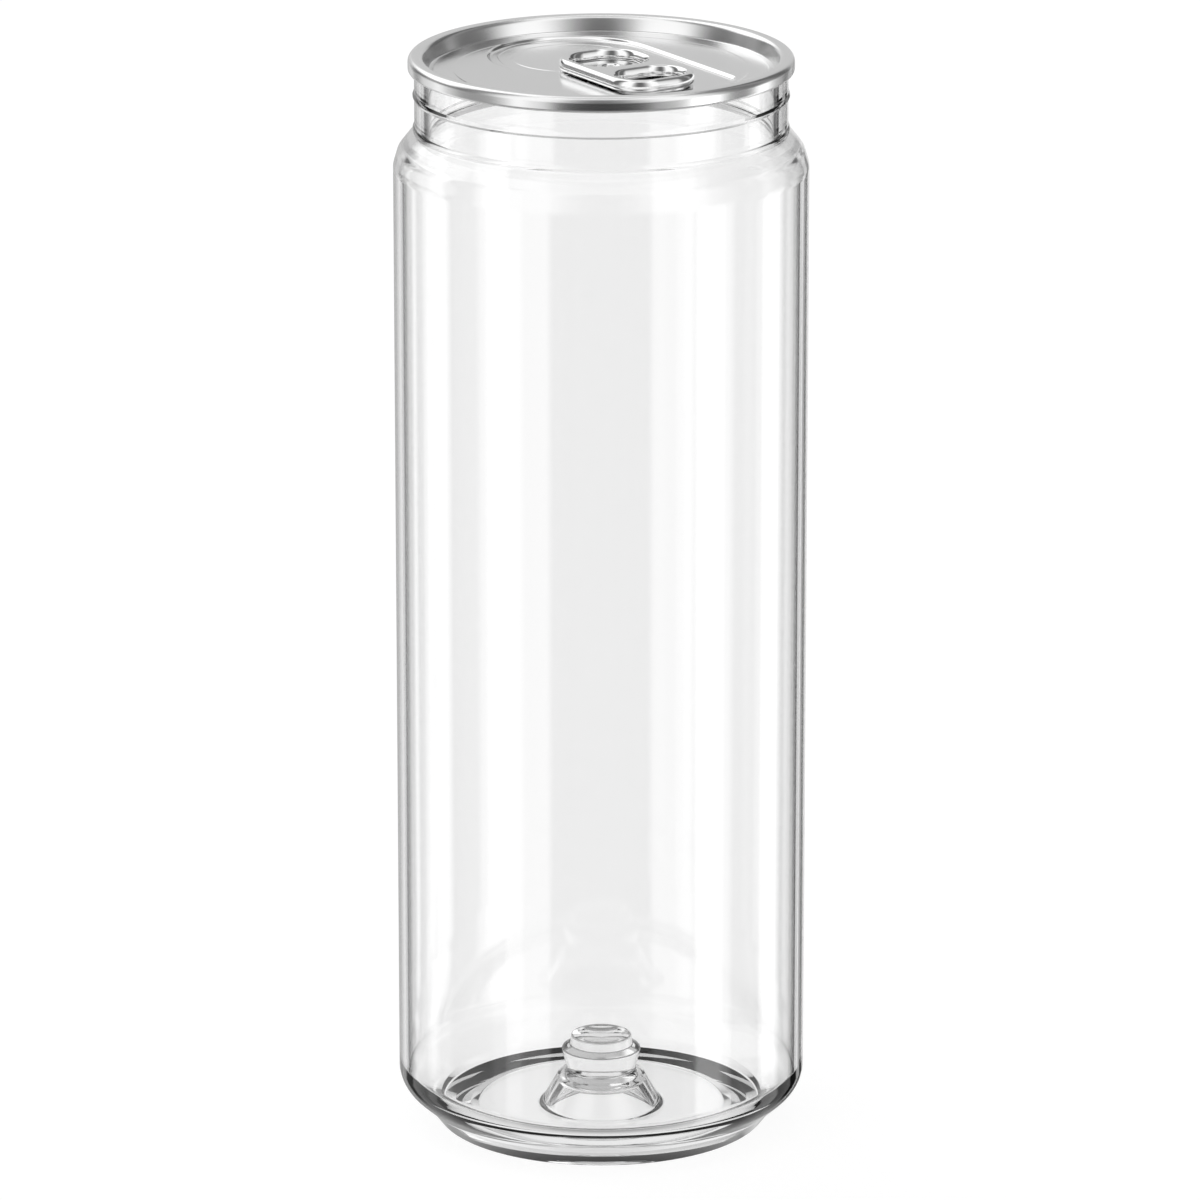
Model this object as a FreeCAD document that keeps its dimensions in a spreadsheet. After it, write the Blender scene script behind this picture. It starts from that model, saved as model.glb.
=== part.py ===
import FreeCAD, Part
import math
import os
import re

import Sketcher

# A slim clear plastic drink can with an aluminium easy-open end and a stay-on pull tab.
# Frame: +Z up, origin on the can's axis at the level of the foot's contact ring.
# The pour opening lies behind and to the left of the rivet, and the tab's finger end
# points to the front right. Lengths are millimetres.

DIMENSIONS = {
    # clear body, outside
    "overall_height": 177.0,
    "body_radius": 33.0,
    "foot_inner_radius": 24.6,
    "foot_outer_radius": 26.7,
    "foot_joint_radius": 28.7,
    "foot_joint_height": 2.6,
    "foot_rounding": 0.45,
    "base_corner_height": 6.35,
    "base_rounding": 4.8,
    "shoulder_start": 159.3,
    "shoulder_hip_radius": 32.3,
    "shoulder_hip_height": 161.7,
    "shoulder_lip_radius": 30.8,
    "shoulder_lip_height": 163.6,
    "neck_start": 165.0,
    "neck_radius": 29.6,
    "bead_height": 170.6,
    "bead_half_width": 0.7,
    "bead_rise": 0.25,
    # clear body, inside
    "wall": 1.55,
    "neck_wall": 2.2,
    "inner_neck_start": 164.0,
    "inner_hip_height": 161.2,
    "inner_hip_set_in": 1.1,
    "inner_shoulder_start": 158.8,
    "shoulder_rounding": 2.2,
    "inner_corner_height": 7.7,
    "inner_rounding": 4.0,
    "channel_radius": 26.0,
    "channel_height": 3.9,
    "floor_radius": 20.0,
    "floor_height": 1.75,
    "recess_radius": 21.8,
    "recess_height": 0.45,
    # push-up in the middle of the base
    "bell_radius": 9.8,
    "bell_top_radius": 7.1,
    "bell_top_height": 6.5,
    "waist_radius": 5.5,
    "waist_height": 7.5,
    "flange_radius": 6.4,
    "flange_height": 10.3,
    "flange_thickness": 0.8,
    "knob_radius": 5.1,
    "knob_step": 0.6,
    "knob_height": 13.3,
    "knob_draft": 0.2,
    "dish_radius": 3.7,
    "dish_depth": 0.6,
    "cavity_radius": 8.4,
    "cavity_top_radius": 5.5,
    "cavity_height": 5.1,
    "push_up_rounding": 1.2,
    "knob_rounding": 0.3,
    # aluminium end
    "gauge": 0.3,
    "seam_radius": 30.6,
    "seam_height": 2.5,
    "seam_width": 2.3,
    "seam_rounding": 1.05,
    "seam_hem_rounding": 0.5,
    "seam_inner_rounding": 0.75,
    "chuck_foot_radius": 27.4,
    "panel_depth": 2.3,
    "groove_depth": 0.3,
    "groove_inner_radius": 26.9,
    "panel_edge_radius": 26.5,
    "step_radius": 23.2,
    "step_width": 0.3,
    "step_drop": 0.1,
    # recessed panel of the end
    "rivet_offset": 1.5,
    "tab_angle": 58.0,
    "recess_end_offset": 11.2,
    "recess_half_width": 14.0,
    "recess_end_radius": 21.4,
    "recess_corner": 4.0,
    "recess_depth": 0.4,
    "recess_slope": 45.0,
    "score_radius": 9.7,
    "score_width": 0.35,
    "score_depth": 0.12,
    # integral rivet
    "rivet_stem_radius": 1.5,
    "rivet_head_radius": 2.1,
    "rivet_head_height": 0.35,
    "rivet_rounding": 0.2,
    # pull tab, measured from the rivet
    "tab_clearance": 0.15,
    "tab_thickness": 2.0,
    "tab_nose": 7.7,
    "tab_end": 17.1,
    "tab_width": 14.8,
    "tab_corner": 5.6,
    "tab_rounding": 0.7,
    "window_nose": 6.0,
    "window_end": 4.9,
    "window_width": 11.2,
    "window_corner": 4.4,
    "finger_start": 8.0,
    "finger_end": 15.6,
    "finger_width": 11.0,
    "finger_corner": 3.4,
    "island_rise": 0.12,
    "island_thickness": 0.3,
    "island_slot": 0.9,
    "island_root": 0.8,
    "island_corner": 3.4,
    "bar_hollow_depth": 1.0,
    "bar_hollow_width": 1.5,
    "bar_hollow_length": 7.5,
}

doc = FreeCAD.newDocument("plastic_can")
dims = doc.addObject("Spreadsheet::Sheet", "dims")
for row, (alias, size) in enumerate(DIMENSIONS.items(), start=1):
    dims.set("A%d" % row, str(size))
    dims.setAlias("A%d" % row, alias)
doc.recompute()


def bound(text):
    """A formula in the sheet's words, as an expression that other objects can use."""
    return re.sub(r"[a-z]+(?:_[a-z]+)*", lambda word: "dims." + word.group(), text)


def number(text):
    """The present value of a formula in the sheet's words."""
    return dims.evalExpression(text)


def new_body(label):
    body = doc.addObject("PartDesign::Body", label)
    body.Label = label
    return body


def new_sketch(body, name, role, height="0", turned=False):
    """A sketch on an origin plane, raised to a height; turned ones look along the tab."""
    plane = [each for each in body.Origin.OriginFeatures if each.Role == role][0]
    sketch = body.newObject("Sketcher::SketchObject", name)
    sketch.AttachmentSupport = [(plane, "")]
    sketch.MapMode = "FlatFace"
    sketch.setExpression(".AttachmentOffset.Base.z", bound(height))
    if turned:
        sketch.AttachmentOffset.Rotation = FreeCAD.Rotation(FreeCAD.Vector(0, 0, 1), 1)
        sketch.setExpression(".AttachmentOffset.Base.x", bound("rivet_offset"))
        sketch.setExpression(".AttachmentOffset.Rotation.Angle", bound("-tab_angle"))
    return sketch


def bind(sketch, kind, places, text):
    """Adds one dimension to a sketch and ties it to the sheet; places are (edge, end) pairs."""
    size = number(text)
    if size < 0:
        size, text, places = -size, "-(%s)" % text, places[::-1]
    flat = [index for place in places for index in place]
    index = sketch.addConstraint(Sketcher.Constraint(kind, *flat, size))
    sketch.setExpression("Constraints[%d]" % index, bound(text))


ORIGIN = (-1, 1)
START, END, CENTRE = 1, 2, 3


def join_ends(sketch, edges, kind="Coincident"):
    for edge, following in zip(edges, edges[1:] + edges[:1]):
        sketch.addConstraint(Sketcher.Constraint(kind, edge, END, following, START))


def section(body, name, corners):
    """A closed section of straight sides in the XZ plane; corners are (radius, height)."""
    sketch = new_sketch(body, name, "XZ_Plane")
    points = [FreeCAD.Vector(number(across), number(up), 0) for across, up in corners]
    sides = [Part.LineSegment(*pair) for pair in zip(points, points[1:] + points[:1])]
    edges = list(sketch.addGeometry(sides))
    join_ends(sketch, edges)
    for edge, (across, up) in zip(edges, corners):
        for kind, text in (("DistanceX", across), ("DistanceY", up)):
            if text == "0":
                axis = -2 if kind == "DistanceX" else -1
                sketch.addConstraint(Sketcher.Constraint("PointOnObject", edge, START, axis))
            else:
                bind(sketch, kind, [ORIGIN, (edge, START)], text)
    return sketch


def turn_round(body, name, sketch):
    solid = body.newObject("PartDesign::Revolution", name)
    solid.Profile = sketch
    solid.ReferenceAxis = (sketch, ["V_Axis"])
    solid.Angle = 360
    doc.recompute()
    return solid


def circle(sketch, radius, across="0"):
    """A circle on the sketch's X axis."""
    middle = FreeCAD.Vector(number(across), 0, 0)
    shape = Part.Circle(middle, FreeCAD.Vector(0, 0, 1), number(radius))
    edge = sketch.addGeometry(shape)
    sketch.addConstraint(Sketcher.Constraint("PointOnObject", edge, CENTRE, -1))
    if across == "0":
        sketch.addConstraint(Sketcher.Constraint("PointOnObject", edge, CENTRE, -2))
    else:
        bind(sketch, "DistanceX", [ORIGIN, (edge, CENTRE)], across)
    bind(sketch, "Radius", [(edge,)], radius)


def arc(middle, radius, first, last):
    around = Part.Circle(middle, FreeCAD.Vector(0, 0, 1), radius)
    return Part.ArcOfCircle(around, math.radians(first), math.radians(last))


def rounded_box(sketch, left, right, bottom, top, corner):
    """A rectangle with four equal round corners, drawn anticlockwise."""
    x0, x1, y0, y1 = (number(text) for text in (left, right, bottom, top))
    radius = number(corner)
    centres = [(x1 - radius, y0 + radius), (x1 - radius, y1 - radius),
               (x0 + radius, y1 - radius), (x0 + radius, y0 + radius)]
    starts = [(x0 + radius, y0), (x1, y0 + radius), (x1 - radius, y1), (x0, y1 - radius)]
    ends = [(x1 - radius, y0), (x1, y1 - radius), (x0 + radius, y1), (x0, y0 + radius)]
    edges = []
    for turn in range(4):
        first, last = (FreeCAD.Vector(*place, 0) for place in (starts[turn], ends[turn]))
        edges.append(sketch.addGeometry(Part.LineSegment(first, last)))
        middle = FreeCAD.Vector(*centres[turn], 0)
        angle = -90 + 90 * turn
        edges.append(sketch.addGeometry(arc(middle, radius, angle, angle + 90)))
    join_ends(sketch, edges, "Tangent")
    for turn, direction in enumerate(("Horizontal", "Vertical")):
        sketch.addConstraint(Sketcher.Constraint(direction, edges[2 * turn]))
        sketch.addConstraint(Sketcher.Constraint(direction, edges[2 * turn + 4]))
    for turn in range(1, 4):
        sketch.addConstraint(Sketcher.Constraint("Equal", edges[1], edges[2 * turn + 1]))
    bind(sketch, "Radius", [(edges[1],)], corner)
    bind(sketch, "DistanceY", [ORIGIN, (edges[0], START)], bottom)
    bind(sketch, "DistanceX", [ORIGIN, (edges[2], START)], right)
    bind(sketch, "DistanceY", [ORIGIN, (edges[4], START)], top)
    bind(sketch, "DistanceX", [ORIGIN, (edges[6], START)], left)


def recess_outline(sketch):
    """The recessed panel: a half round at the pour end, straight sides and a wide end arc."""
    half, corner = number("recess_half_width"), number("recess_corner")
    end, back = number("recess_end_radius"), -number("recess_end_offset")
    rise = half - corner
    reach = math.sqrt((end - corner) ** 2 - rise ** 2)
    tilt = math.degrees(math.atan2(rise, reach))
    shapes = [
        Part.LineSegment(FreeCAD.Vector(back, -half, 0), FreeCAD.Vector(reach, -half, 0)),
        arc(FreeCAD.Vector(reach, -rise, 0), corner, -90, -tilt),
        arc(FreeCAD.Vector(0, 0, 0), end, -tilt, tilt),
        arc(FreeCAD.Vector(reach, rise, 0), corner, tilt, 90),
        Part.LineSegment(FreeCAD.Vector(reach, half, 0), FreeCAD.Vector(back, half, 0)),
        arc(FreeCAD.Vector(back, 0, 0), half, 90, 270),
    ]
    edges = list(sketch.addGeometry(shapes))
    join_ends(sketch, edges, "Tangent")
    sketch.addConstraint(Sketcher.Constraint("Coincident", edges[2], CENTRE, *ORIGIN))
    sketch.addConstraint(Sketcher.Constraint("PointOnObject", edges[5], CENTRE, -1))
    sketch.addConstraint(Sketcher.Constraint("Equal", edges[1], edges[3]))
    sketch.addConstraint(Sketcher.Constraint("Horizontal", edges[0]))
    bind(sketch, "DistanceX", [ORIGIN, (edges[5], CENTRE)], "-recess_end_offset")
    bind(sketch, "Radius", [(edges[5],)], "recess_half_width")
    bind(sketch, "Radius", [(edges[2],)], "recess_end_radius")
    bind(sketch, "Radius", [(edges[1],)], "recess_corner")


def raise_or_sink(body, kind, name, sketch, depth, downwards=False, slope=None):
    """A pad or a pocket of a bound depth; with a slope its walls lean inwards."""
    feature = body.newObject("PartDesign::" + kind, name)
    feature.Profile = sketch
    feature.setExpression("Length", bound(depth))
    feature.Reversed = downwards
    if slope:
        feature.setExpression("TaperAngle", bound(slope))
    before = feature.BaseFeature.Shape.Volume if feature.BaseFeature else 0
    doc.recompute()
    grown = feature.Shape.Volume - before
    if (grown > 0) != (kind == "Pad"):
        raise RuntimeError("%s changes the volume by %.3f" % (name, grown))
    return feature


def fillet(body, name, size, edges):
    """Rounds edges of the body's last feature, named as Edge numbers."""
    base = body.Tip
    feature = body.newObject("PartDesign::Fillet", name)
    feature.Base = (base, edges)
    feature.setExpression("Radius", bound(size))
    doc.recompute()
    return feature


def ring_edges(body, rings):
    """The round edges about the Z axis at each (radius, height)."""
    found = []
    for across, up in rings:
        radius, height = number(across), number(up)
        names = ["Edge%d" % index for index, edge in enumerate(body.Tip.Shape.Edges, start=1)
                 if hasattr(edge.Curve, "Radius")
                 and abs(edge.Curve.Radius - radius) < 0.001
                 and abs(edge.Curve.Center.z - height) < 0.001]
        if len(names) != 1:
            raise RuntimeError("%d edges at %s, %s" % (len(names), across, up))
        found += names
    return found


def level_edges(shape, heights):
    """All the edges that lie level at one of the heights."""
    return ["Edge%d" % index for index, edge in enumerate(shape.Edges, start=1)
            for height in heights
            if max(abs(edge.BoundBox.ZMin - height), abs(edge.BoundBox.ZMax - height)) < 0.001]


SEAM_BOTTOM = "overall_height - seam_height"
SEAM_INSIDE = "seam_radius - seam_width"
PANEL = "overall_height - panel_depth"
GROOVE = "overall_height - panel_depth - groove_depth"
RECESS_FLOOR = "overall_height - panel_depth - step_drop - recess_depth"


def clear_body():
    body = new_body("can_body")
    outside = [
        ("foot_inner_radius", "0"),
        ("foot_outer_radius", "0"),
        ("foot_joint_radius", "foot_joint_height"),
        ("body_radius", "base_corner_height"),
        ("body_radius", "shoulder_start"),
        ("shoulder_hip_radius", "shoulder_hip_height"),
        ("shoulder_lip_radius", "shoulder_lip_height"),
        ("neck_radius", "neck_start"),
        ("neck_radius", "bead_height - bead_half_width"),
        ("neck_radius + bead_rise", "bead_height"),
        ("neck_radius", "bead_height + bead_half_width"),
    ]
    # the flange that the end's seam is folded round
    flange = [
        ("neck_radius", SEAM_BOTTOM + " + gauge"),
        ("seam_radius - gauge", SEAM_BOTTOM + " + gauge"),
        ("seam_radius - gauge", "overall_height - gauge"),
        (SEAM_INSIDE + " + gauge", "overall_height - gauge"),
        ("chuck_foot_radius + gauge", GROOVE + " - gauge"),
    ]
    inside = [
        ("neck_radius - neck_wall", GROOVE + " - gauge"),
        ("neck_radius - neck_wall", "inner_neck_start"),
        ("body_radius - wall - inner_hip_set_in", "inner_hip_height"),
        ("body_radius - wall", "inner_shoulder_start"),
        ("body_radius - wall", "inner_corner_height"),
        ("channel_radius", "channel_height"),
        ("floor_radius", "floor_height"),
    ]
    push_up = [
        ("bell_radius", "floor_height"),
        ("bell_top_radius", "bell_top_height"),
        ("waist_radius", "waist_height"),
        ("flange_radius", "flange_height"),
        ("flange_radius", "flange_height + flange_thickness"),
        ("knob_radius", "flange_height + flange_thickness + knob_step"),
        ("knob_radius - knob_draft", "knob_height"),
        ("dish_radius", "knob_height"),
        ("0", "knob_height - dish_depth"),
    ]
    underside = [
        ("0", "cavity_height"),
        ("cavity_top_radius", "cavity_height"),
        ("cavity_radius", "recess_height"),
        ("recess_radius", "recess_height"),
    ]
    sketch = section(body, "can_section", outside + flange + inside + push_up + underside)
    turn_round(body, "can_shell", sketch)
    fillet(body, "base_round", "base_rounding", ring_edges(body, [outside[3]]))
    fillet(body, "shoulder_round", "shoulder_rounding",
           ring_edges(body, [outside[4], outside[5], inside[2], inside[3]]))
    fillet(body, "inner_base_round", "inner_rounding", ring_edges(body, [inside[4]]))
    fillet(body, "foot_round", "foot_rounding", ring_edges(body, outside[:2]))
    fillet(body, "flange_round", "seam_inner_rounding", ring_edges(body, [flange[2], flange[3]]))
    fillet(body, "push_up_round", "push_up_rounding",
           ring_edges(body, [push_up[0], push_up[1], underside[1], underside[2]]))
    fillet(body, "knob_round", "knob_rounding",
           ring_edges(body, [push_up[3], push_up[4], push_up[6], push_up[7]]))
    return body


def aluminium_end():
    body = new_body("can_end")
    top_side = [
        ("neck_radius", SEAM_BOTTOM),
        ("seam_radius", SEAM_BOTTOM),
        ("seam_radius", "overall_height"),
        (SEAM_INSIDE, "overall_height"),
        ("chuck_foot_radius", GROOVE),
        ("groove_inner_radius", GROOVE),
        ("panel_edge_radius", PANEL),
        ("step_radius + step_width", PANEL),
        ("step_radius", PANEL + " - step_drop"),
        ("0", PANEL + " - step_drop"),
    ]
    under_side = [
        ("0", PANEL + " - step_drop - gauge"),
        ("step_radius", PANEL + " - step_drop - gauge"),
        ("step_radius + step_width", PANEL + " - gauge"),
        ("panel_edge_radius", PANEL + " - gauge"),
        ("groove_inner_radius", GROOVE + " - gauge"),
        ("chuck_foot_radius + gauge", GROOVE + " - gauge"),
        (SEAM_INSIDE + " + gauge", "overall_height - gauge"),
        ("seam_radius - gauge", "overall_height - gauge"),
        ("seam_radius - gauge", SEAM_BOTTOM + " + gauge"),
        ("neck_radius", SEAM_BOTTOM + " + gauge"),
    ]
    turn_round(body, "end_shell", section(body, "end_section", top_side + under_side))
    fillet(body, "seam_round", "seam_rounding", ring_edges(body, [top_side[2], top_side[3]]))
    fillet(body, "seam_inner_round", "seam_inner_rounding",
           ring_edges(body, [under_side[6], under_side[7]]))
    fillet(body, "seam_hem_round", "seam_hem_rounding", ring_edges(body, [top_side[1]]))

    # the recessed panel: the same outline pushed down on both faces of the sheet
    below = new_sketch(body, "recess_back", "XY_Plane", PANEL + " - step_drop - gauge", turned=True)
    recess_outline(below)
    raise_or_sink(body, "Pad", "recess_boss", below, "recess_depth", True, "-recess_slope")
    above = new_sketch(body, "recess_front", "XY_Plane", PANEL + " - step_drop", turned=True)
    recess_outline(above)
    raise_or_sink(body, "Pocket", "recess", above, "recess_depth", False, "-recess_slope")

    score = new_sketch(body, "score_line", "XY_Plane", RECESS_FLOOR, turned=True)
    circle(score, "score_radius", "-recess_end_offset")
    circle(score, "score_radius - score_width", "-recess_end_offset")
    raise_or_sink(body, "Pocket", "score", score, "score_depth")

    stem = new_sketch(body, "rivet_stem_section", "XY_Plane", RECESS_FLOOR, turned=True)
    circle(stem, "rivet_stem_radius")
    island_top = "tab_clearance + island_rise + island_thickness"
    raise_or_sink(body, "Pad", "rivet_stem", stem, island_top)
    head_level = RECESS_FLOOR + " + " + island_top
    head = new_sketch(body, "rivet_head_section", "XY_Plane", head_level, turned=True)
    circle(head, "rivet_head_radius")
    raise_or_sink(body, "Pad", "rivet_head", head, "rivet_head_height")
    fillet(body, "rivet_round", "rivet_rounding",
           ring_edges(body, [("rivet_head_radius", head_level + " + rivet_head_height")]))
    return body


def pull_tab():
    body = new_body("pull_tab")
    half = "tab_width / 2"
    rim = new_sketch(body, "tab_outline", "XY_Plane")
    rounded_box(rim, "-tab_nose", "tab_end", "-" + half, half, "tab_corner")
    half_window = "window_width / 2"
    rounded_box(rim, "-window_nose", "window_end", "-" + half_window, half_window, "window_corner")
    half_finger = "finger_width / 2"
    rounded_box(rim, "finger_start", "finger_end", "-" + half_finger, half_finger, "finger_corner")
    raise_or_sink(body, "Pad", "tab_rim", rim, "tab_thickness")
    # the curled edges are round along the outline and both windows, above and below
    rolled = level_edges(body.Tip.Shape, [0, number("tab_thickness")])
    fillet(body, "rolled_edges", "tab_rounding", rolled)

    bar_middle = "(window_end + finger_start) / 2"
    hollow = new_sketch(body, "bar_hollow_outline", "XY_Plane")
    rounded_box(hollow, bar_middle + " - bar_hollow_width / 2",
                bar_middle + " + bar_hollow_width / 2",
                "-bar_hollow_length / 2", "bar_hollow_length / 2", "bar_hollow_width / 4")
    raise_or_sink(body, "Pocket", "bar_hollow", hollow, "bar_hollow_depth", True)

    # the island is joined on the bar side and one long side, with an open slot round the rest
    island = new_sketch(body, "island_outline", "XY_Plane", "island_rise")
    rounded_box(island, "-(window_nose - island_slot)", "window_end + island_root",
                "-(window_width / 2 + island_root)", "window_width / 2 - island_slot",
                "island_corner")
    circle(island, "rivet_stem_radius")
    raise_or_sink(body, "Pad", "rivet_island", island, "island_thickness")

    body.Placement.Rotation = FreeCAD.Rotation(FreeCAD.Vector(0, 0, 1), 1)
    body.setExpression(".Placement.Base.x", bound("rivet_offset"))
    body.setExpression(".Placement.Base.z", bound(RECESS_FLOOR + " + tab_clearance"))
    body.setExpression(".Placement.Rotation.Angle", bound("-tab_angle"))
    return body


bodies = [clear_body(), aluminium_end(), pull_tab()]
doc.recompute()

for each in doc.Objects:
    if "Invalid" in each.State or "Error" in each.State:
        raise RuntimeError("%s did not compute: %s" % (each.Label, each.State))
for body in bodies:
    if body.Shape.isNull() or not body.Shape.isValid() or len(body.Shape.Solids) != 1:
        raise RuntimeError("%s has no sound solid" % body.Label)

os.makedirs("parts", exist_ok=True)
for body in bodies:
    body.Shape.exportStep("parts/%s.step" % body.Label)
    print("%s: %.3f cm3" % (body.Label, body.Shape.Volume / 1000))
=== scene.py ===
import math

import bpy
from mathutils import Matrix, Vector


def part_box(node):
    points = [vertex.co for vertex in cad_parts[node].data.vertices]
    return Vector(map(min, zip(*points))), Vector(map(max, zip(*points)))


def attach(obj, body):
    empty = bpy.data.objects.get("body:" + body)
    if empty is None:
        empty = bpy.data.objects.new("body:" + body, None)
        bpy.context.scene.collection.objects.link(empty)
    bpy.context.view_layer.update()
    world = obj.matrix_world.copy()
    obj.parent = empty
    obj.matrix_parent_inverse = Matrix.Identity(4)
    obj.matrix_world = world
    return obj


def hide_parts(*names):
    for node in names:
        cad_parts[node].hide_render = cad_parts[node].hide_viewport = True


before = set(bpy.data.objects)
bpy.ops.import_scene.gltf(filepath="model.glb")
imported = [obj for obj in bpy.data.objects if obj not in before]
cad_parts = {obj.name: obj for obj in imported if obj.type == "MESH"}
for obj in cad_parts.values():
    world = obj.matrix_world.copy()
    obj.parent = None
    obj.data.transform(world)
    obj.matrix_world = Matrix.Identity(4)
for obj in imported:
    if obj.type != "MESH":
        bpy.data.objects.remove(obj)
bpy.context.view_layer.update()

# A slim clear plastic drink can with an aluminium easy-open end and a stay-on pull tab.
# The plastic body is turned, the end is pressed from one sheet, and the tab has rolled edges.

MM = 0.001


# ---------------------------------------------------------------- sizes, in millimetres

play = 0.05                 # room between the plastic and the metal
gauge = 0.3                 # the aluminium sheet

# clear body
body_radius = 33.0
inside_radius = 31.45
neck_radius = 29.6
neck_inside = 27.4
foot_inside, foot_outside = 24.6, 26.7
underside_level, floor_level = 0.45, 1.75
bead_level, bead_rise = 170.6, 0.3
neck_foot = 165.3

# seamed rim, chuck wall and panel of the end
overall_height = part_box("can_end")[1].z / MM
seam_radius = 30.6
seam_inside = seam_radius - 2.3
seam_bottom = overall_height - 2.5
chuck_foot = 27.4
panel = overall_height - 2.3
panel_edge = 26.5
panel_ring = 23.2
groove = panel - 0.3
groove_inside = 26.9

# recessed panel, measured from the rivet
rivet_offset = 1.5
tab_angle = math.radians(-58)
recess_depth = 0.5
recess_floor = panel - recess_depth
recess_half_width = 14.0
recess_corner = 4.0
recess_end = 21.4
pour_centre = -11.2
dimple_start, dimple_end, dimple_half_width, dimple_corner = 9.2, 14.8, 3.8, 2.6

# rivet
stem_radius = 1.5
head_radius = 2.2
head_height = 0.35

# pull tab, measured from the rivet: the rim runs from the nose to the finger end
tab_bottom = recess_floor + 0.15
tab_lower, tab_upper = 0.6, 1.4
tab_nose, tab_end, tab_half_width, tab_corner = -7.7, 17.1, 7.4, 5.6
window_nose, window_end, window_half_width, window_corner = -6.0, 4.9, 5.6, 4.4
hole_start, hole_end, hole_half_width, hole_corner = 8.0, 15.4, 5.5, 3.4
roll_width = 0.8
island_rise = 0.12
island_slot, island_root, island_corner = 0.9, 0.8, 3.4


# ---------------------------------------------------------------- modelling helpers

def start_mesh(name, corner=(0, 0, 0)):
    """A new object with one vertex, selected in edit mode."""
    bpy.ops.object.select_all(action="DESELECT")
    bpy.ops.mesh.primitive_plane_add(size=1)
    piece = bpy.context.object
    piece.name = piece.data.name = name
    bpy.ops.object.mode_set(mode="EDIT")
    bpy.ops.mesh.select_mode(type="VERT")
    bpy.ops.mesh.select_all(action="SELECT")
    bpy.ops.mesh.merge(type="CENTER")
    bpy.ops.transform.translate(value=Vector(corner) * MM)
    return piece


def draw_line(points, closed=False):
    """Extrudes the selected vertex from point to point; closing the line makes it a face."""
    for here, there in zip(points, points[1:]):
        step = (Vector(there) - Vector(here)) * MM
        bpy.ops.mesh.extrude_region_move(TRANSFORM_OT_translate={"value": step})
    bpy.ops.mesh.select_all(action="SELECT")
    if closed:
        bpy.ops.mesh.edge_face_add()


def end_mesh():
    """Goes back to object mode."""
    bpy.ops.object.mode_set(mode="OBJECT")


def arc(centre, radius, first, last, steps):
    """Points on an arc; the angles are in degrees."""
    turns = [math.radians(first + (last - first) * step / steps) for step in range(steps + 1)]
    return [(centre[0] + radius * math.cos(a), centre[1] + radius * math.sin(a)) for a in turns]


def rounded(corners, step_angle=7.5):
    """A line through (x, y, radius) corners with each corner rounded to its radius."""
    line = []
    for index, (x, y, radius) in enumerate(corners):
        here = Vector((x, y))
        if not radius:
            line.append((x, y))
            continue
        before = Vector(corners[index - 1][:2]) - here
        after = Vector(corners[(index + 1) % len(corners)][:2]) - here
        half = before.angle(after) / 2
        before, after = before.normalized(), after.normalized()
        centre = here + (before + after).normalized() * radius / math.sin(half)
        first = here + before * radius / math.tan(half) - centre
        last = here + after * radius / math.tan(half) - centre
        turn = last.angle_signed(first)
        steps = max(2, round(abs(math.degrees(turn)) / step_angle))
        start = math.degrees(math.atan2(first.y, first.x))
        line += arc(centre, radius, start, start + math.degrees(turn), steps)
    return line


def lathe(name, line, steps, centre=(0, 0)):
    """Spins a line of (radius, height) points about an upright axis."""
    points = [(centre[0] + across, centre[1], up) for across, up in line]
    piece = start_mesh(name, points[0])
    draw_line(points)
    middle = (centre[0] * MM, centre[1] * MM, 0)
    bpy.ops.mesh.spin(steps=steps, angle=2 * math.pi, center=middle, axis=(0, 0, 1))
    bpy.ops.mesh.select_all(action="SELECT")
    bpy.ops.mesh.remove_doubles(threshold=0.001 * MM)
    bpy.ops.mesh.normals_make_consistent(inside=False)
    end_mesh()
    return piece


def select_open_edges(piece, level):
    """Selects the edges of open borders that lie at one height, in edit mode."""
    bpy.ops.object.mode_set(mode="EDIT")
    bpy.ops.mesh.select_mode(type="EDGE")
    bpy.ops.mesh.select_all(action="DESELECT")
    bpy.ops.mesh.select_non_manifold(extend=False, use_multi_face=False)
    bpy.ops.object.mode_set(mode="OBJECT")
    points = piece.data.vertices
    for edge in piece.data.edges:
        level_edge = all(abs(points[index].co.z / MM - level) < 0.001 for index in edge.vertices)
        edge.select = edge.select and level_edge
    bpy.ops.object.mode_set(mode="EDIT")


def join(pieces, merge=True):
    """Joins the pieces into the first one, with their shared edges merged."""
    bpy.ops.object.select_all(action="DESELECT")
    for piece in pieces:
        piece.select_set(True)
    bpy.context.view_layer.objects.active = pieces[0]
    bpy.ops.object.join()
    if merge:
        bpy.ops.object.mode_set(mode="EDIT")
        bpy.ops.mesh.select_all(action="SELECT")
        bpy.ops.mesh.remove_doubles(threshold=0.001 * MM)
        bpy.ops.object.mode_set(mode="OBJECT")
    return pieces[0]


def modify(piece, kind, **settings):
    """Adds a modifier to a piece and applies it."""
    bpy.ops.object.select_all(action="DESELECT")
    piece.select_set(True)
    bpy.context.view_layer.objects.active = piece
    bpy.ops.object.modifier_add(type=kind)
    modifier = piece.modifiers[-1]
    for name, setting in settings.items():
        setattr(modifier, name, setting)
    bpy.ops.object.modifier_apply(modifier=modifier.name)


def smooth(piece, angle=35):
    """Shades a piece smooth up to an angle in degrees, with its flat faces kept flat."""
    bpy.ops.object.select_all(action="DESELECT")
    piece.select_set(True)
    bpy.context.view_layer.objects.active = piece
    bpy.ops.object.shade_smooth_by_angle(angle=math.radians(angle))
    modify(piece, "WEIGHTED_NORMAL", keep_sharp=True, weight=100)


def along_tab(points, height):
    """Points given from the rivet along and across the tab, as places on the can."""
    turn = Vector((math.cos(tab_angle), math.sin(tab_angle)))
    side = Vector((-turn.y, turn.x))
    places = [turn * x + side * y + Vector((rivet_offset, 0)) for x, y in points]
    return [(place.x, place.y, height) for place in places]


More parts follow.
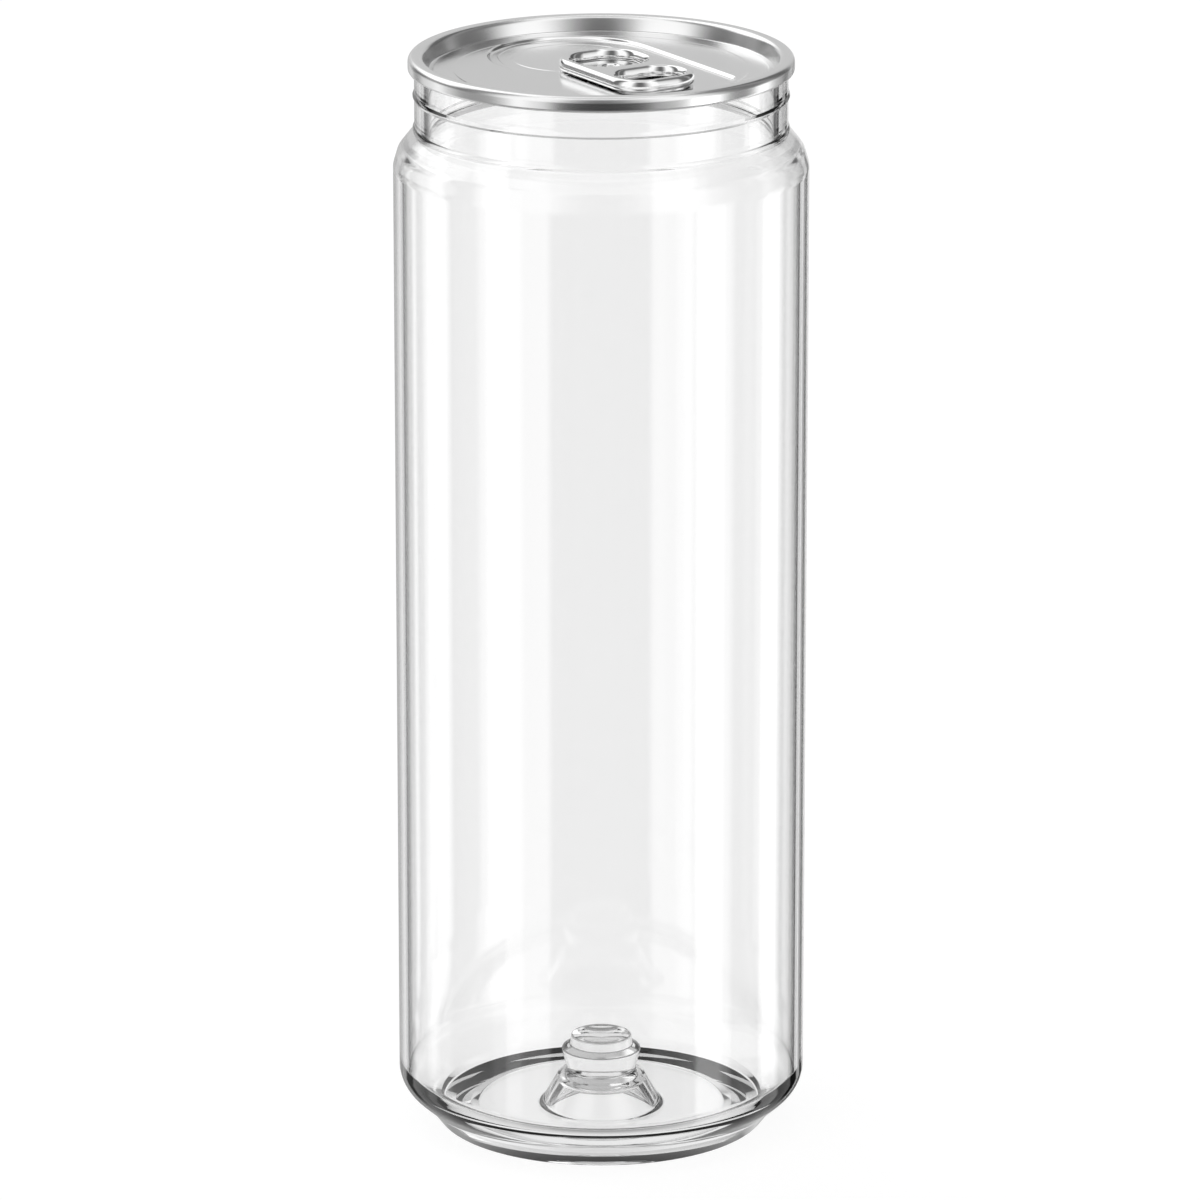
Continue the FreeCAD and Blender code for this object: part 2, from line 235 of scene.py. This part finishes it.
def outline_face(name, points, height):
    """One flat face inside an outline that is given along the tab."""
    places = along_tab(points, height)
    piece = start_mesh(name, places[0])
    draw_line(places, closed=True)
    bpy.ops.mesh.select_mode(type="FACE")
    bpy.ops.mesh.select_all(action="SELECT")
    return piece


def box_points(low, high, half_width, corner):
    """A box with rounded corners, as points along and across the tab."""
    return rounded([(low, -half_width, corner), (high, -half_width, corner),
                    (high, half_width, corner), (low, half_width, corner)], 6)


def roll(width, height, steps=8):
    """The steps of a quarter round that starts upright and ends level."""
    angles = [math.pi / 2 * step / steps for step in range(steps + 1)]
    return [(width * (math.cos(a) - math.cos(b)), height * (math.sin(b) - math.sin(a)))
            for a, b in zip(angles, angles[1:])]


def press(steps):
    """Carries the selected face on in steps of (inwards, upwards), leaving a wall behind it."""
    for inwards, upwards in steps:
        if inwards:
            bpy.ops.mesh.inset(thickness=inwards * MM, depth=0)
            bpy.ops.transform.translate(value=(0, 0, upwards * MM))
        else:
            rise = {"value": (0, 0, upwards * MM)}
            bpy.ops.mesh.extrude_region_move(TRANSFORM_OT_translate=rise)


def open_middle(piece):
    """Deletes the one face that is still selected."""
    bpy.ops.mesh.delete(type="ONLY_FACE")
    end_mesh()
    return piece


# ---------------------------------------------------------------- clear body

def make_body():
    """The clear body: its section, as (radius, height, rounding) corners, turned once round."""
    flange_bottom = seam_bottom + gauge + play
    flange_top = overall_height - gauge - play
    flange_radius = seam_radius - gauge - play
    mouth = groove - gauge - play
    underside = [
        (0, 5.1, 0), (5.5, 5.1, 1.2), (8.4, underside_level, 1.2), (21.8, underside_level, 0.6),
    ]
    foot_and_wall = [
        (foot_inside, 0, 0.45), (foot_outside, 0, 0.45), (28.7, 2.6, 0),
        (body_radius, 6.35, 4.8), (body_radius, 159.3, 2.2),
    ]
    shoulder = [(32.3, 161.7, 2.2), (30.8, 163.6, 1.2)]
    neck = [
        (neck_radius + 0.1, neck_foot - 0.5, 0.1), (neck_radius + bead_rise, neck_foot, 0.25),
        (neck_radius, neck_foot + 0.5, 0.1), (neck_radius, bead_level - 0.5, 0.1),
        (neck_radius + bead_rise, bead_level, 0.25), (neck_radius, bead_level + 0.5, 0.1),
    ]
    flange = [
        (neck_radius, flange_bottom, 0), (flange_radius, flange_bottom, 0),
        (flange_radius, flange_top, 0.7), (seam_inside + gauge + play, flange_top, 0.7),
        (chuck_foot + gauge + play, mouth, 0),
    ]
    inside = [
        (neck_inside, mouth, 0), (neck_inside, 164.0, 2.0), (30.35, 161.2, 2.2),
        (inside_radius, 158.8, 2.2), (inside_radius, 7.7, 4.0), (26.0, 3.9, 0.8),
        (20.0, floor_level, 0.8),
    ]
    push_up = [
        (9.8, floor_level, 1.2), (7.1, 6.5, 1.2), (5.5, 7.5, 0.4),
        (6.4, 10.3, 0.3), (6.4, 11.1, 0.3),
        (5.1, 11.7, 0.2), (4.9, 13.3, 0.3), (3.7, 13.3, 0.3), (0, 12.7, 0),
    ]
    section = underside + foot_and_wall + shoulder + neck + flange + inside + push_up
    piece = lathe("clear_body", rounded(section), 360)
    smooth(piece, 28)
    return piece


# ---------------------------------------------------------------- aluminium end

def recess_points():
    """The recessed panel's outline: a half round, straight sides and a wide end arc."""
    rise = recess_half_width - recess_corner
    reach = math.sqrt((recess_end - recess_corner) ** 2 - rise ** 2)
    tilt = math.degrees(math.atan2(rise, reach))
    return (arc((pour_centre, 0), recess_half_width, 90, 270, 72)
            + arc((reach, -rise), recess_corner, -90, -tilt, 12)[:-1]
            + arc((0, 0), recess_end, -tilt, tilt, 30)
            + arc((reach, rise), recess_corner, tilt, 90, 12)[1:])


def make_rim():
    """The seam, the chuck wall, the groove and the outer ring of the panel."""
    return lathe("end_sheet", rounded([
        (neck_radius + play, seam_bottom, 0), (seam_radius, seam_bottom, 0.5),
        (seam_radius, overall_height, 1.05), (seam_inside, overall_height, 1.05),
        (chuck_foot, groove, 0.25), (groove_inside, groove, 0.2), (panel_edge, panel, 0.4),
        (panel_edge - 0.9, panel, 0),
    ]), 256)


def make_tear_panel():
    """The round panel that the score bounds, with its shallow ring and the score line."""
    ring, score = 12.0, 9.8
    centre = along_tab([(pour_centre, 0)], 0)[0][:2]
    return lathe("end_tear_panel", rounded([
        (ring + 0.3, recess_floor, 0), (ring + 0.15, recess_floor, 0.1),
        (ring, recess_floor + 0.06, 0.1), (ring - 0.15, recess_floor, 0.1),
        (score + 0.2, recess_floor, 0.1), (score, recess_floor - 0.1, 0.1),
        (score - 0.2, recess_floor, 0.1), (score - 0.4, recess_floor, 0), (0, recess_floor, 0),
    ]), 128, centre)


def make_rivet():
    """The integral rivet, with a dished head that holds the tab's plate."""
    plate_top = tab_bottom + island_rise + gauge
    return lathe("rivet", rounded([
        (0, recess_floor, 0), (stem_radius, recess_floor, 0), (stem_radius, plate_top, 0),
        (head_radius, plate_top, 0.1), (head_radius, plate_top + head_height, 0.25),
        (1.5, plate_top + head_height, 0.15), (1.3, plate_top + 0.1, 0.15),
        (0, plate_top + 0.15, 0),
    ]), 64, (rivet_offset, 0))


def make_end():
    """The pressed sheet: its faces are joined along shared edges, then given their thickness."""
    recess = outline_face("end_recess", recess_points(), panel)
    wall = [(0.1, -recess_depth * share) for share in (0.03, 0.12, 0.22, 0.26, 0.22, 0.12, 0.03)]
    press([(0.15, 0)] + wall + [(0.05, 0)])
    open_middle(recess)
    dimple = outline_face("end_dimple", box_points(dimple_start, dimple_end, dimple_half_width,
                                                   dimple_corner), recess_floor)
    press([(0.2, -0.01), (0.3, -0.05), (0.4, -0.06), (0.4, -0.03)])
    end_mesh()

    piece = join([make_rim(), recess, make_tear_panel(), dimple])
    for level in (panel, recess_floor):
        select_open_edges(piece, level)
        bpy.ops.mesh.fill(use_beauty=True)
    bpy.ops.mesh.select_all(action="SELECT")
    bpy.ops.mesh.normals_make_consistent(inside=False)
    end_mesh()
    modify(piece, "SOLIDIFY", thickness=gauge * MM, offset=-1)

    piece = join([piece, make_rivet()], merge=False)
    smooth(piece)
    return piece


# ---------------------------------------------------------------- pull tab

def rolled_opening(name, low, high, half_width, corner, level):
    """The rolled edge of an opening, from the tab's flat top down to its widest line."""
    outline = box_points(low - roll_width, high + roll_width,
                         half_width + roll_width, corner + roll_width)
    piece = outline_face(name, outline, level)
    press([(inwards, -upwards) for inwards, upwards in reversed(roll(roll_width, tab_upper))])
    return open_middle(piece)


def make_tab():
    """The rolled rim, made as its upper half and mirrored down, and the rivet's thin plate."""
    middle = tab_bottom + tab_lower
    top = middle + tab_upper
    rim = outline_face("tab_rim", box_points(tab_nose, tab_end, tab_half_width, tab_corner), middle)
    press(roll(roll_width, tab_upper))
    open_middle(rim)
    window = rolled_opening("tab_window", window_nose, window_end, window_half_width,
                            window_corner, top)
    hole = rolled_opening("tab_finger_hole", hole_start, hole_end, hole_half_width,
                          hole_corner, top)

    piece = join([rim, window, hole])
    select_open_edges(piece, top)
    bpy.ops.mesh.fill(use_beauty=True)
    bpy.ops.mesh.select_all(action="SELECT")
    bpy.ops.mesh.duplicate()
    flatter = (1, 1, -tab_lower / tab_upper)
    bpy.ops.transform.resize(value=flatter, center_override=(0, 0, middle * MM))
    bpy.ops.mesh.select_all(action="SELECT")
    bpy.ops.mesh.remove_doubles(threshold=0.001 * MM)
    bpy.ops.mesh.normals_make_consistent(inside=False)
    end_mesh()

    # joined to the rim on one long side and at the bar, with a slot round the rest
    nose, bar = window_nose + island_slot, window_end + island_root
    joined, free = -(window_half_width + island_root), window_half_width - island_slot
    plate = [(x, y, island_corner)
             for x, y in ((nose, joined), (bar, joined), (bar, free), (nose, free))]
    island = outline_face("tab_island", rounded(plate, 6), tab_bottom + island_rise)
    press([(0, gauge - 0.12), (0.05, 0.07), (0.1, 0.05)])
    bpy.ops.mesh.select_all(action="SELECT")
    bpy.ops.mesh.normals_make_consistent(inside=False)
    end_mesh()
    piece = join([piece, island], merge=False)
    smooth(piece)
    return piece


# ---------------------------------------------------------------- materials

panel_roughness, rim_roughness, tab_roughness = 0.16, 0.25, 0.12


class Value:
    """A number that varies over a surface. Arithmetic on it adds Math nodes."""

    def __init__(self, shader, socket):
        self.shader = shader
        self.socket = socket

    def __add__(self, other):
        return self.shader.math("ADD", self, other)

    def __mul__(self, other):
        return self.shader.math("MULTIPLY", self, other)

    def __rsub__(self, other):
        return self.shader.math("SUBTRACT", other, self)

    def __lt__(self, other):
        return self.shader.math("LESS_THAN", self, other)

    def __gt__(self, other):
        return self.shader.math("GREATER_THAN", self, other)

    __rmul__ = __mul__


class Shader:
    """The node tree of one material or of the world."""

    def __init__(self, owner):
        owner.use_nodes = True
        self.tree = owner.node_tree
        self.tree.nodes.clear()

    def add(self, kind, settings=None, inputs=None, output=0):
        """Adds one node and returns its output; stops of a ramp are (place, level) pairs."""
        node = self.tree.nodes.new(kind)
        settings = dict(settings or {})
        stops = settings.pop("stops", None)
        for name, setting in settings.items():
            setattr(node, name, setting)
        if stops:
            ramp = node.color_ramp.elements
            while len(ramp) < len(stops):
                ramp.new(0.5)
            for element, (place, level) in zip(ramp, stops):
                element.position = place
                element.color = (level, level, level, 1)
        for name, value in (inputs or {}).items():
            if isinstance(value, Value):
                self.tree.links.new(value.socket, node.inputs[name])
            else:
                node.inputs[name].default_value = value
        return Value(self, node.outputs[output]) if node.outputs else None

    def math(self, operation, *inputs):
        """One step of arithmetic."""
        return self.add("ShaderNodeMath", {"operation": operation}, dict(enumerate(inputs)))

    def step(self, value, low, high):
        """Rises smoothly from 0 to 1 as the value passes from low to high."""
        return self.add("ShaderNodeMapRange", {"interpolation_type": "SMOOTHSTEP"},
                        {"Value": value, "From Min": low, "From Max": high})

    def blend(self, first, second, share):
        """Goes from the first value to the second as the share goes from 0 to 1."""
        return self.add("ShaderNodeMix", {}, {"Factor": share, "A": first, "B": second})

    def light_path(self, name):
        return self.add("ShaderNodeLightPath", output=name)

    def seen_straight(self):
        """1 for the camera's own rays and for those that have only passed through plastic."""
        unreflected = self.light_path("Glossy Depth") < 0.5
        through = self.light_path("Is Transmission Ray") * unreflected
        return self.math("MAXIMUM", self.light_path("Is Camera Ray"), through)

    def axes(self, space):
        """The x, y and z of the shaded point or of the direction, in a space."""
        place = self.add("ShaderNodeTexCoord", output=space)
        return [self.add("ShaderNodeSeparateXYZ", inputs={"Vector": place}, output=axis)
                for axis in "XYZ"]


def plain_material(name, metallic, roughness, **others):
    """A material that is the same all over."""
    material = bpy.data.materials.new(name)
    shader = Shader(material)
    settings = {"Base Color": (0.9, 0.9, 0.9, 1), "Metallic": metallic, "Roughness": roughness}
    settings.update(others)
    principled = shader.add("ShaderNodeBsdfPrincipled", {}, settings)
    shader.add("ShaderNodeOutputMaterial", {}, {"Surface": principled})
    return material


def end_material():
    """Rolled aluminium: a brighter mirror on the panel than on the rim, and one shallow ring."""
    material = bpy.data.materials.new("end_metal")
    shader = Shader(material)
    x, y, z = shader.axes("Object")
    radius = shader.math("SQRT", x * x + y * y)
    on_panel = shader.step(z, (panel - 0.1) * MM, (panel - 0.05) * MM)
    ring = shader.step(radius, panel_ring * MM, (panel_ring + 0.3) * MM) * on_panel
    bump = shader.add("ShaderNodeBump", inputs={"Height": ring, "Distance": 0.06 * MM})
    on_rim = shader.step(radius, (groove_inside - 0.1) * MM, (seam_inside + 0.1) * MM)
    roughness = on_rim * (rim_roughness - panel_roughness) + panel_roughness
    principled = shader.add("ShaderNodeBsdfPrincipled", {}, {
        "Base Color": (0.9, 0.9, 0.9, 1), "Metallic": 1, "Roughness": roughness, "Normal": bump})
    shader.add("ShaderNodeOutputMaterial", {}, {"Surface": principled})
    return material


# ---------------------------------------------------------------- pieces

body = make_body()
end = make_end()
tab = make_tab()
body.data.materials.append(plain_material("clear_plastic", 0, 0, **{
    "Base Color": (1, 1, 1, 1), "IOR": 1.57, "Transmission Weight": 1}))
end.data.materials.append(end_material())
tab.data.materials.append(plain_material("tab_metal", 1, tab_roughness))
for piece, node, slot in ((body, "can_body", "clear_plastic"), (end, "can_end", "end_metal"),
                          (tab, "pull_tab", "tab_metal")):
    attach(piece, "root")
    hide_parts(node)


# ---------------------------------------------------------------- studio

# Cards round the can, as (degrees from the camera's side, level) pairs: a lower and an
# upper row on each side. A level of 1 is as bright as the white behind the can.
left_cards = [
    (0, 0.02), (28, 0.02), (31, 0.85), (45, 0.85), (47, 1.3), (55, 1.3), (57, 0.6), (64, 0.6),
    (66, 0.3), (95, 0.3), (97, 0.65), (107, 0.65), (109, 1.25), (116, 1.25), (118, 0.8),
    (135, 0.8), (138, 0.15), (147, 0.15), (150, 0.85), (157, 0.85), (160, 0.55), (180, 0.55),
]
right_cards = [
    (0, 0.02), (28, 0.02), (31, 0.4), (46, 0.4), (48, 0.6), (55, 0.6), (57, 2.0), (72, 2.0),
    (74, 1.1), (78, 1.1), (80, 0.2), (103, 0.2), (105, 1.55), (119, 1.55), (122, 0.45),
    (137, 0.45), (139, 0.03), (148, 0.03), (150, 0.95), (155, 0.95), (158, 0.05), (163, 0.05),
    (166, 0.9), (173, 0.9), (176, 0.55), (180, 0.55),
]
left_upper = [
    (0, 0.14), (8, 0.15), (20, 0.5), (30, 1.1), (60, 1.1), (70, 0.5), (80, 0.16),
    (108, 0.16), (120, 0.35), (127, 0.1), (146, 0.1), (151, 0.6), (180, 0.6),
]
right_upper = [
    (0, 0.14), (8, 0.15), (20, 0.4), (30, 0.8), (40, 1.1), (62, 1.1), (74, 0.6), (84, 0.16),
    (108, 0.14), (118, 0.4), (126, 0.1), (146, 0.1), (151, 0.6), (180, 0.6),
]
ramp_scale = 4.0            # a ramp holds levels from 0 to 1, so the cards' are scaled
high_softbox_level = 1.3
overhead_level = 1.15
zenith_level = 0.62
near_ground_level, far_ground_level = 0.3, 0.9

floor_radius = 3.0          # metres
floor_colour = (0.8, 0.8, 0.8, 1)
floor_glow = 1.14
glow_share = 0.8


def surround(shader, turn, levels):
    """A row of cards as a ramp from the camera's side of the can to the far side."""
    stops = [(angle / 180, level / ramp_scale) for angle, level in levels]
    return shader.add("ShaderNodeValToRGB", {"stops": stops}, {"Fac": turn}) * ramp_scale


def make_world():
    """Light and dark cards for reflections only; all that is seen straight is plain white."""
    world = bpy.data.worlds.new("studio")
    bpy.context.scene.world = world
    shader = Shader(world)
    x, y, z = shader.axes("Generated")
    turn = shader.math("ARCTAN2", shader.math("ABSOLUTE", x), -1 * y) * (1 / math.pi)
    right = x > 0
    lower = shader.blend(surround(shader, turn, left_cards),
                         surround(shader, turn, right_cards), right)
    upper = shader.blend(surround(shader, turn, left_upper),
                         surround(shader, turn, right_upper), right)
    level = shader.blend(lower, upper, shader.step(z, -0.2, 0.1))
    level = shader.blend(level, overhead_level, shader.step(z, 0.84, 0.93))
    behind_left = (shader.step(turn, 0.54, 0.58) * (1 - shader.step(turn, 0.87, 0.91))
                   * (1 - right) * shader.step(z, 0.2, 0.33))
    level = shader.blend(level, high_softbox_level, behind_left)
    level = shader.blend(level, zenith_level, shader.step(z, 0.94, 0.975))
    ground = shader.blend(near_ground_level, far_ground_level, shader.step(y, -0.2, 0.6))
    level = shader.blend(level, ground, shader.step(-1 * z, 0.45, 0.65))
    background = shader.add("ShaderNodeBackground", inputs={
        "Color": (1, 1, 1, 1), "Strength": shader.blend(level, 1, shader.seen_straight())})
    shader.add("ShaderNodeOutputWorld", inputs={"Surface": background})


def make_floor():
    """White paper under the can, which is seen straight but isn't reflected or seen from below."""
    bpy.ops.object.select_all(action="DESELECT")
    bpy.ops.mesh.primitive_circle_add(vertices=64, radius=floor_radius, fill_type="NGON",
                                      location=(0, 0, -0.1 * MM))
    floor = bpy.context.object
    floor.name = "floor"
    material = bpy.data.materials.new("floor")
    shader = Shader(material)
    diffuse = shader.add("ShaderNodeBsdfDiffuse", inputs={"Color": floor_colour})
    glow = shader.add("ShaderNodeEmission", inputs={"Strength": floor_glow})
    paper = shader.add("ShaderNodeMixShader", inputs={"Fac": glow_share, 1: diffuse, 2: glow})
    clear = shader.add("ShaderNodeBsdfTransparent")
    underneath = shader.add("ShaderNodeNewGeometry", output="Backfacing")
    surface = shader.add("ShaderNodeMixShader", inputs={
        "Fac": shader.seen_straight() * (1 - underneath), 1: clear, 2: paper})
    shader.add("ShaderNodeOutputMaterial", inputs={"Surface": surface})
    floor.data.materials.append(material)


make_world()
make_floor()


# ---------------------------------------------------------------- camera

camera_aim = Vector((-0.2, 0, 87.05)) * MM
camera_distance = 1320 * MM
camera_pitch = math.radians(16.56)

camera = bpy.data.objects.new("camera", bpy.data.cameras.new("camera"))
bpy.context.scene.collection.objects.link(camera)
backwards = Vector((0, -math.cos(camera_pitch), math.sin(camera_pitch)))
camera.location = camera_aim + backwards * camera_distance
camera.rotation_euler = (math.pi / 2 - camera_pitch, 0, 0)
camera.data.lens = 245.94
camera.data.sensor_width = 36
camera.data.clip_start = 0.05
camera.data.clip_end = 20
bpy.context.scene.camera = camera
bpy.context.scene.view_settings.view_transform = "Standard"
